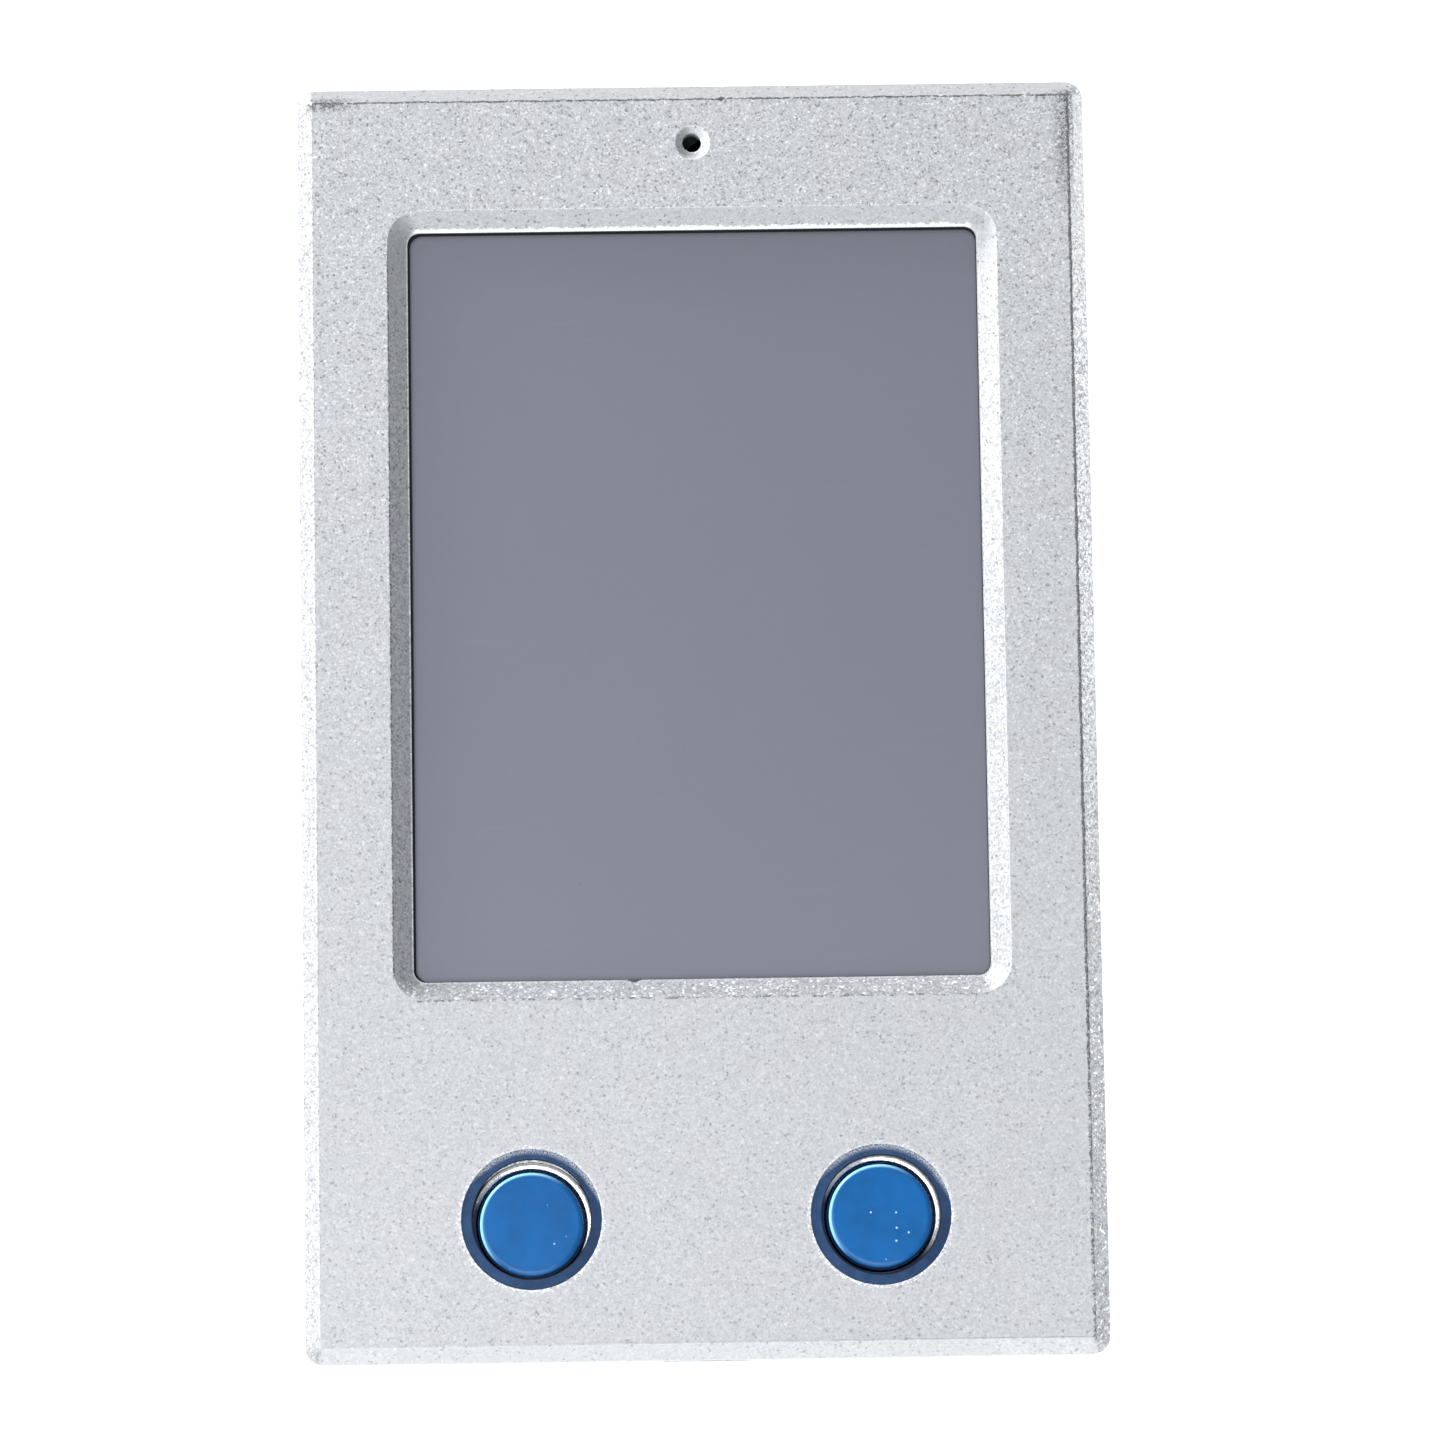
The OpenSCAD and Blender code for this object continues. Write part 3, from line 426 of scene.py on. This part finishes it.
def screen_film(name, tone):
    """Anti-glare touch film over an unlit display, with a little dust and faint wipe marks."""
    g = Graph(name, Metallic=0.8, Specular_IOR_Level=0.3)
    height = g.split(g.mm)[1]
    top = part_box("touch_panel")[1].y / MM
    colour = g.mix(g.range(height, top - 20, top, 0.0, 0.35), tone, scaled(tone, 0.9))
    colour = g.mix(g.range(g.noise(0.05, 3), 0.35, 0.65, 0.0, 0.3), colour, scaled(tone, 1.04))
    pixels = g.range(g.noise(7, detail=1), 0.3, 0.7)
    colour = g.mix(g.times(pixels, 0.18), colour, scaled(tone, 1.15))
    wipe = g.range(g.noise(0.5, 3, stretch=(0.25, 1.6, 1.0)), 0.62, 0.8, 0.0, 0.1)
    colour = g.mix(wipe, colour, scaled(tone, 1.3))
    dust = g.specks(0.12, 0.022, 0.4, soft=0.01)
    colour = g.mix(dust, colour, (0.8, 0.82, 0.85))
    lint = g.specks(0.17, 0.03, 0.25, soft=0.015)
    colour = g.mix(g.times(lint, 0.6), colour, scaled(tone, 0.45))
    g.set(Base_Color=colour, Normal=g.bump(g.noise(9, detail=2), 0.0015, 0.4))
    g.set(Roughness=g.range(g.noise(6, detail=2), 0.3, 0.7, 0.44, 0.48))
    return g.material


def moulding(name, tone, gloss=0.5, texture=7.0):
    """Plain moulded plastic with a spark-eroded surface texture."""
    g = Graph(name, Specular_IOR_Level=0.4)
    cloud = g.noise(0.7, detail=3)
    fine = g.noise(texture, detail=2)
    colour = g.mix(g.range(cloud, 0.3, 0.7), scaled(tone, 0.85), scaled(tone, 1.15))
    colour = g.mix(g.range(fine, 0.5, 0.8, 0.0, 0.3), colour, scaled(tone, 1.5))
    g.set(Base_Color=colour, Normal=g.bump(fine, 0.01, 0.7))
    g.set(Roughness=g.range(fine, 0.3, 0.7, gloss - 0.08, gloss + 0.12))
    return g.material


def foam(name, tone):
    """Soft foam or rubber with open pores."""
    g = Graph(name, Specular_IOR_Level=0.2)
    distance, number = g.cells(6)
    colour = g.mix(g.range(distance, 0.1, 0.6), scaled(tone, 0.5), scaled(tone, 1.3))
    colour = g.mix(g.range(number, 0.7, 1.0, 0.0, 0.4), colour, scaled(tone, 2.0))
    g.set(Base_Color=colour, Normal=g.bump(distance, 0.04, 0.8))
    g.set(Roughness=g.range(number, 0, 1, 0.8, 0.95))
    return g.material


def felt(name, tone):
    """Matted short fibres."""
    g = Graph(name, Specular_IOR_Level=0.1, Sheen_Weight=0.3, Sheen_Roughness=0.5)
    one = g.noise(5, 3, stretch=(0.3, 1.6, 1.0))
    two = g.noise(5, 3, stretch=(1.6, 0.3, 1.0))
    fibres = g.largest(one, two)
    colour = g.mix(g.range(fibres, 0.45, 0.75), scaled(tone, 0.6), scaled(tone, 2.2))
    g.set(Base_Color=colour, Normal=g.bump(fibres, 0.05, 0.9))
    g.set(Roughness=g.range(fibres, 0, 1, 0.8, 1.0))
    return g.material


def metal(name, tone, roughness=0.3, brushed=(0.25, 6.0, 6.0), scratch=0.25):
    """Plated sheet metal with a rolling direction and light scratches."""
    g = Graph(name, Metallic=1.0)
    lines = g.noise(1.4, 3, stretch=brushed)
    stain = g.noise(0.4, detail=4)
    colour = g.mix(g.range(lines, 0.3, 0.7), scaled(tone, 0.85), scaled(tone, 1.1))
    colour = g.mix(g.range(stain, 0.5, 0.75, 0.0, scratch), colour, scaled(tone, 0.6))
    g.set(Base_Color=colour, Normal=g.bump(lines, 0.004, 0.6))
    g.set(Roughness=g.range(lines, 0.25, 0.75, roughness - 0.08, roughness + 0.14))
    return g.material


def collar_metal(name, tone):
    """Polished metal, bright at the screen end of each collar, with a painted dark blue reflection
    of the ring and cap round the rest.
    """
    g = Graph(name, Metallic=1.0)
    grain = g.noise(6, detail=3)
    colour = g.mix(g.range(grain, 0.3, 0.7), scaled(tone, 0.9), tone)
    for side in SIDES:
        reach, towards = round_zone(g, "button_collar_" + side, (0.5, 0.87, 0))
        near = g.math("LESS_THAN", reach, 1.1)
        # Painted dark blue reflection of the ring and cap round the rest of the collar
        dark_reflection = g.times(near, g.range(towards, -0.3, 0.3, 0.97, 0.0))
        colour = g.mix(dark_reflection, colour, (0.02, 0.042, 0.09))
    g.set(Base_Color=colour, Normal=g.bump(grain, 0.004, 0.6))
    g.set(Roughness=g.range(grain, 0.25, 0.75, 0.08, 0.22))
    return g.material


def circuit_board(name, mask, copper):
    """Solder mask over a mesh of tracks, with tinned vias."""
    g = Graph(name, Specular_IOR_Level=0.5, Coat_Weight=0.4, Coat_Roughness=0.25)
    mesh = {"Vector": g.mm, "Scale": 1.0, "Brick Width": 3.1, "Row Height": 0.9}
    brick = g.add("ShaderNodeTexBrick", {**mesh, "Mortar Size": 0.13, "Mortar Smooth": 0.2})
    tracks = g.math("SUBTRACT", 1.0, brick.outputs["Fac"])
    region = g.range(g.noise(0.12, detail=1), 0.45, 0.5)
    tracks = g.times(tracks, region)
    vias = g.specks(0.9, 0.24, 0.3, soft=0.06)
    colour = g.mix(tracks, mask, scaled(mask, 2.1))
    colour = g.mix(g.range(g.noise(0.3, 3), 0.3, 0.7, 0.0, 0.3), colour, scaled(mask, 0.7))
    colour = g.mix(vias, colour, copper)
    g.set(Base_Color=colour, Metallic=g.times(vias, 0.9))
    g.set(Normal=g.bump(tracks, 0.02, 0.6), Roughness=g.range(vias, 0, 1, 0.35, 0.3))
    return g.material


def flex_circuit(name, film, copper):
    """Amber film with parallel copper tracks."""
    g = Graph(name, Specular_IOR_Level=0.5, Coat_Weight=0.3, Coat_Roughness=0.15)
    across = g.split(g.mm)[0]
    wave = g.math("FRACT", g.times(across, 1.6))
    tracks = g.range(g.size(g.math("SUBTRACT", wave, 0.5)), 0.22, 0.28)
    colour = g.mix(tracks, film, copper)
    colour = g.mix(g.range(g.noise(0.8, 3), 0.35, 0.7, 0.0, 0.3), colour, scaled(film, 0.6))
    g.set(Base_Color=colour, Normal=g.bump(tracks, 0.02, 0.7))
    g.set(Roughness=g.range(tracks, 0, 1, 0.3, 0.38))
    return g.material


def light_plate(name, tone):
    """Clear acrylic with a printed dot pattern."""
    g = Graph(name, Transmission_Weight=0.7, IOR=1.49, Specular_IOR_Level=0.5)
    dots = g.specks(1.1, 0.3, 1.0, soft=0.1)
    colour = g.mix(dots, tone, (0.97, 0.97, 0.97))
    g.set(Base_Color=colour, Roughness=g.range(dots, 0, 1, 0.08, 0.5))
    return g.material


def film(name, tone, shine=0.35):
    """Thin optical film with a satin, slightly wavy surface."""
    g = Graph(name, Specular_IOR_Level=0.5)
    waves = g.noise(0.15, detail=3)
    colour = g.mix(g.range(waves, 0.3, 0.7), scaled(tone, 0.94), scaled(tone, 1.04))
    g.set(Base_Color=colour, Normal=g.bump(waves, 0.05, 0.4))
    g.set(Roughness=g.range(g.noise(2, 3), 0.3, 0.7, shine - 0.05, shine + 0.1))
    return g.material


def foil_wrap(name, tone):
    """Silver-grey laminate foil with soft creases."""
    g = Graph(name, Metallic=0.8, Specular_IOR_Level=0.5)
    crease = g.noise(0.3, detail=5, roughness=0.6)
    weave = g.noise(3, 2, stretch=(1.0, 0.2, 1.0))
    colour = g.mix(g.range(crease, 0.35, 0.65), scaled(tone, 0.88), scaled(tone, 1.1))
    colour = g.mix(g.range(weave, 0.4, 0.7, 0.0, 0.2), colour, scaled(tone, 0.75))
    normal = g.bump(weave, 0.01, 0.5, g.bump(crease, 0.25, 0.6))
    g.set(Base_Color=colour, Normal=normal, Roughness=g.range(weave, 0.3, 0.7, 0.28, 0.42))
    return g.material


SILVER = (0.462, 0.468, 0.488)
MAKERS = {
    "silver_paint": lambda n: silver_paint(n, SILVER, with_painted_light=True),
    "silver_paint_back": lambda n: silver_paint(n, scaled(SILVER, 0.97), grime=0.12),
    "door_paint": lambda n: silver_paint(n, scaled(SILVER, 0.94), grime=0.16),
    "ring_blue": lambda n: ring_plastic(n, (0.019, 0.047, 0.115), (0.46, 0.48, 0.52)),
    "bright_collar": lambda n: collar_metal(n, (0.9, 0.9, 0.91)),
    "cap_blue": lambda n: cap_plastic(n, (0.001, 0.083, 0.268)),
    "screen_grey": lambda n: screen_film(n, (0.188, 0.195, 0.234)),
    "black_foam": lambda n: foam(n, (0.008, 0.008, 0.009)),
    "black_moulding": lambda n: moulding(n, (0.022, 0.022, 0.024)),
    "ivory_moulding": lambda n: moulding(n, (0.75, 0.71, 0.6), 0.4),
    "white_moulding": lambda n: moulding(n, (0.85, 0.85, 0.82), 0.4),
    "steel_plate": lambda n: metal(n, (0.6, 0.61, 0.62)),
    "spring_steel": lambda n: metal(n, (0.66, 0.65, 0.62), 0.18),
    "tinned_metal": lambda n: metal(n, (0.62, 0.61, 0.57), 0.35),
    "screw_steel": lambda n: metal(n, (0.5, 0.5, 0.51), 0.28, (5.0, 5.0, 0.4)),
    "gold_contact": lambda n: metal(n, (0.78, 0.56, 0.22), 0.25),
    "flex_amber": lambda n: flex_circuit(n, (0.42, 0.17, 0.03), (0.6, 0.3, 0.1)),
    "lcd_glass": lambda n: film(n, (0.13, 0.14, 0.17), 0.2),
    "white_film": lambda n: film(n, (0.86, 0.87, 0.88)),
    "clear_acrylic": lambda n: light_plate(n, (0.88, 0.94, 0.95)),
    "led_body": lambda n: moulding(n, (0.85, 0.72, 0.25), 0.3),
    "board_green": lambda n: circuit_board(n, (0.015, 0.11, 0.045), (0.6, 0.58, 0.5)),
    "chip_black": lambda n: moulding(n, (0.024, 0.024, 0.026), 0.55, 4.0),
    "ferrite": lambda n: moulding(n, (0.07, 0.065, 0.06), 0.6, 3.0),
    "ceramic_chips": lambda n: moulding(n, (0.36, 0.24, 0.14), 0.45, 3.0),
    "boot_rubber": lambda n: moulding(n, (0.02, 0.02, 0.021), 0.65, 3.0),
    "black_felt": lambda n: felt(n, (0.012, 0.012, 0.013)),
    "cone_film": lambda n: film(n, (0.03, 0.03, 0.033)),
    "magnet_plate": lambda n: metal(n, (0.25, 0.25, 0.26), 0.4),
    "cell_wrap": lambda n: foil_wrap(n, (0.5, 0.53, 0.57)),
}
materials = {}
for part in RECORD["subparts"]:
    slot = part["material_slot"]
    if slot not in materials:
        materials[slot] = MAKERS[slot](slot)
    mesh = NODES[part["node"]].data
    mesh.materials.clear()
    mesh.materials.append(materials[slot])


def show(name, data):
    thing = bpy.data.objects.new(name, data)
    bpy.context.scene.collection.objects.link(thing)
    return thing


# ---- Edges: the CAD solids keep their shape and get softened edges ----

EDGE_MM = {  # (width in mm, segments)
    "front_cover": (0.05, 2),
    "rear_cover": (0.12, 3),
    "battery_door": (0.12, 3),
    "button_cap_left": (0.1, 2),
    "button_cap_right": (0.1, 2),
    "button_collar_left": (0.03, 1),
    "button_collar_right": (0.03, 1),
    "button_ring_left": (0.02, 1),
    "button_ring_right": (0.02, 1),
    "touch_panel": (0.1, 2),
    "battery_cell": (0.3, 3),
    "battery_end_cap": (0.15, 2),
    "main_board": (0.08, 1),
    "sync_socket_shell": (0.1, 2),
}
FINE_EDGE = (0.04, 1)  # for all the others
WELD_MM = 0.002
FLAT_ANGLE = math.radians(0.4)
SHARP_ANGLE = math.radians(28)
SHADE_WEIGHT = 80
NO_EDGE = {"switch_dome_left", "switch_dome_right", "speaker_cone", "lcd_flex", "touch_flex"}


def soften(name, width, segments):
    node = NODES[name]
    node.modifiers.new("weld", "WELD").merge_threshold = WELD_MM * MM
    flat = node.modifiers.new("flat", "DECIMATE")
    flat.decimate_type = "DISSOLVE"
    flat.angle_limit = FLAT_ANGLE
    edge = node.modifiers.new("edge", "BEVEL")
    edge.limit_method = "ANGLE"
    edge.angle_limit = SHARP_ANGLE
    edge.width = width * MM
    edge.segments = segments
    edge.use_clamp_overlap = False
    edge.miter_outer = "MITER_ARC"
    shade = node.modifiers.new("shade", "WEIGHTED_NORMAL")
    shade.keep_sharp = True
    shade.weight = SHADE_WEIGHT
    for polygon in node.data.polygons:
        polygon.use_smooth = True


for name in NODES:
    if name not in NO_EDGE:
        soften(name, *EDGE_MM.get(name, FINE_EDGE))


# ---- Snap domes under the buttons ----

DOME_WALL = 0.1  # mm
DOME_DIMPLE = 0.05  # mm
DOME_RINGS, DOME_TURNS = 10, 48


def dome_arc(node, wall):
    """(radius, height) of points from the middle to the rim, a wall's thickness inside the dome."""
    low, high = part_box(node)
    radius = radius_mm(node)
    rise = (high.z - low.z) / MM - DOME_WALL
    ball = (radius**2 + rise**2) / (2 * rise)
    for k in range(1, DOME_RINGS + 1):
        lean = math.asin(radius / ball) * k / DOME_RINGS
        dimple = DOME_DIMPLE * max(0.0, 1 - k / 2.5)
        height = high.z / MM - ball + (ball - wall) * math.cos(lean) - dimple
        yield (ball - wall) * math.sin(lean), height


def snap_dome(side):
    """A thin spring dome with a dimple on top, spun from its two arcs."""
    node = "switch_dome_" + side
    low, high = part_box(node)
    centre = (low + high) / 2
    profile = list(dome_arc(node, 0.0)) + list(dome_arc(node, DOME_WALL))[::-1]
    points = []
    for radius, height in profile:
        for k in range(DOME_TURNS):
            angle = math.tau * k / DOME_TURNS
            across = Vector((math.cos(angle), math.sin(angle))) * radius * MM
            points.append((centre.x + across.x, centre.y + across.y, height * MM))
    faces = []
    for ring in range(len(profile) - 1):
        start = ring * DOME_TURNS
        for k in range(DOME_TURNS):
            a, b = start + k, start + (k + 1) % DOME_TURNS
            faces.append((a, a + DOME_TURNS, b + DOME_TURNS, b))
    faces.append(tuple(range(DOME_TURNS)))
    faces.append(tuple(len(points) - 1 - k for k in range(DOME_TURNS)))
    mesh = bpy.data.meshes.new("snap_dome_" + side)
    mesh.from_pydata(points, [], faces)
    for polygon in mesh.polygons:
        polygon.use_smooth = True
    mesh.materials.append(materials["spring_steel"])
    dome = show("snap_dome_" + side, mesh)
    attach(dome, "root")
    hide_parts(node)
    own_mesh(dome)


for side in SIDES:
    snap_dome(side)


# ---- Stage ----


WHITE = (1.0, 1.0, 1.0)
FLOOR_HALF = 4.0  # m
FLOOR_GAP = 0.02  # mm under the device, so that the two don't share a plane
WORLD_STRENGTH = 0.41


def studio():
    """A plain white floor, clear from below, and a pale world."""
    floor_mesh = bpy.data.meshes.new("floor")
    corners = [(x * FLOOR_HALF, y * FLOOR_HALF, 0) for x, y in ((-1, -1), (1, -1), (1, 1), (-1, 1))]
    floor_mesh.from_pydata(corners, [], [(0, 1, 2, 3)])
    floor = show("floor", floor_mesh)
    floor.location.z = -FLOOR_GAP * MM
    g = Graph("floor_white", Roughness=0.9, Specular_IOR_Level=0.1, Emission_Strength=0.65)
    grain = g.range(g.noise(0.2, 3), 0.3, 0.7, 0.89, 0.91)
    g.set(Base_Color=g.vector("SCALE", WHITE, Scale=grain), Emission_Color=WHITE)
    # Seen from below, the floor is clear, so that the back can be looked at
    below = g.add("ShaderNodeNewGeometry").outputs["Backfacing"]
    clear = g.add("ShaderNodeBsdfTransparent")
    both = g.add("ShaderNodeMixShader")
    output = next(n for n in g.tree.nodes if n.type == "OUTPUT_MATERIAL")
    g.put(both.inputs[0], below)
    g.put(both.inputs[1], g.shader.outputs[0])
    g.put(both.inputs[2], clear.outputs[0])
    g.put(output.inputs["Surface"], both.outputs[0])
    floor_mesh.materials.append(g.material)

    world = bpy.data.worlds.new("world")
    bpy.context.scene.world = world
    world.use_nodes = True
    sky = world.node_tree.nodes["Background"]
    sky.inputs["Color"].default_value = (0.94, 0.97, 1.0, 1)
    sky.inputs["Strength"].default_value = WORLD_STRENGTH


def lamp(name, shape, where, towards, power):
    """An area lamp of the given shape, at a place in metres, that shines the given way."""
    light = bpy.data.lights.new(name, "AREA")
    light.shape = shape
    light.energy = power
    body = show(name, light)
    body.location = where
    body.rotation_euler = Vector(towards).to_track_quat("-Z", "Y").to_euler()
    return body


def area_light(name, where, size, power, colour=WHITE):
    """A round lamp that shines on the face's middle."""
    body = lamp(name, "DISK", where, Vector((0, 0, FACE_Z)) - Vector(where), power)
    body.data.size = size
    body.data.color = colour


def strip_light(name, where, towards, size, power):
    """A low strip beside the device, below its face, that lights only its bevels and sides."""
    body = lamp(name, "RECTANGLE", where, towards, power)
    body.data.size, body.data.size_y = size
    body.visible_camera = False


def camera():
    """A long lens in front of the face, a little towards the button end and turned in its plane."""
    distance = 0.572  # m
    pitch, yaw, roll = math.radians(7.04), math.radians(-0.72), math.radians(-0.79)
    aside = Vector((-2.24, 0.9, -distance / MM)) * MM
    turn = Matrix.Rotation(pitch, 4, "X") @ Matrix.Rotation(yaw, 4, "Y")
    turn = turn @ Matrix.Rotation(roll, 4, "Z")
    data = bpy.data.cameras.new("camera")
    data.lens = 149.5
    data.sensor_width = 36.0
    data.clip_start = 0.01
    eye = show("camera", data)
    eye.matrix_world = Matrix.Translation((0, 0, FACE_Z)) @ turn @ Matrix.Translation(-aside)
    bpy.context.scene.camera = eye


bpy.context.scene.view_settings.view_transform = "Standard"
studio()
area_light("left", (-2.85, 0.0, 2.03), 3.9, 92.0)
area_light("low_left", (-1.35, 1.35, 0.3), 0.7, 36.0)
area_light("button_end", (0.0, -1.9, 1.35), 2.3, 27.0, (0.95, 1.0, 0.97))
area_light("screen_end", (0.0, 1.9, 1.35), 2.3, 21.5)
area_light("overhead", (-0.57, -0.8, 2.1), 1.9, 22.8)
strip_light("right_strip", (0.11, 0.055, 0.008), (-1, 0, 0), (0.12, 0.014), 0.025)
strip_light("button_strip", (0.0, -0.115, 0.008), (0, 1, 0), (0.1, 0.014), 0.0065)
camera()
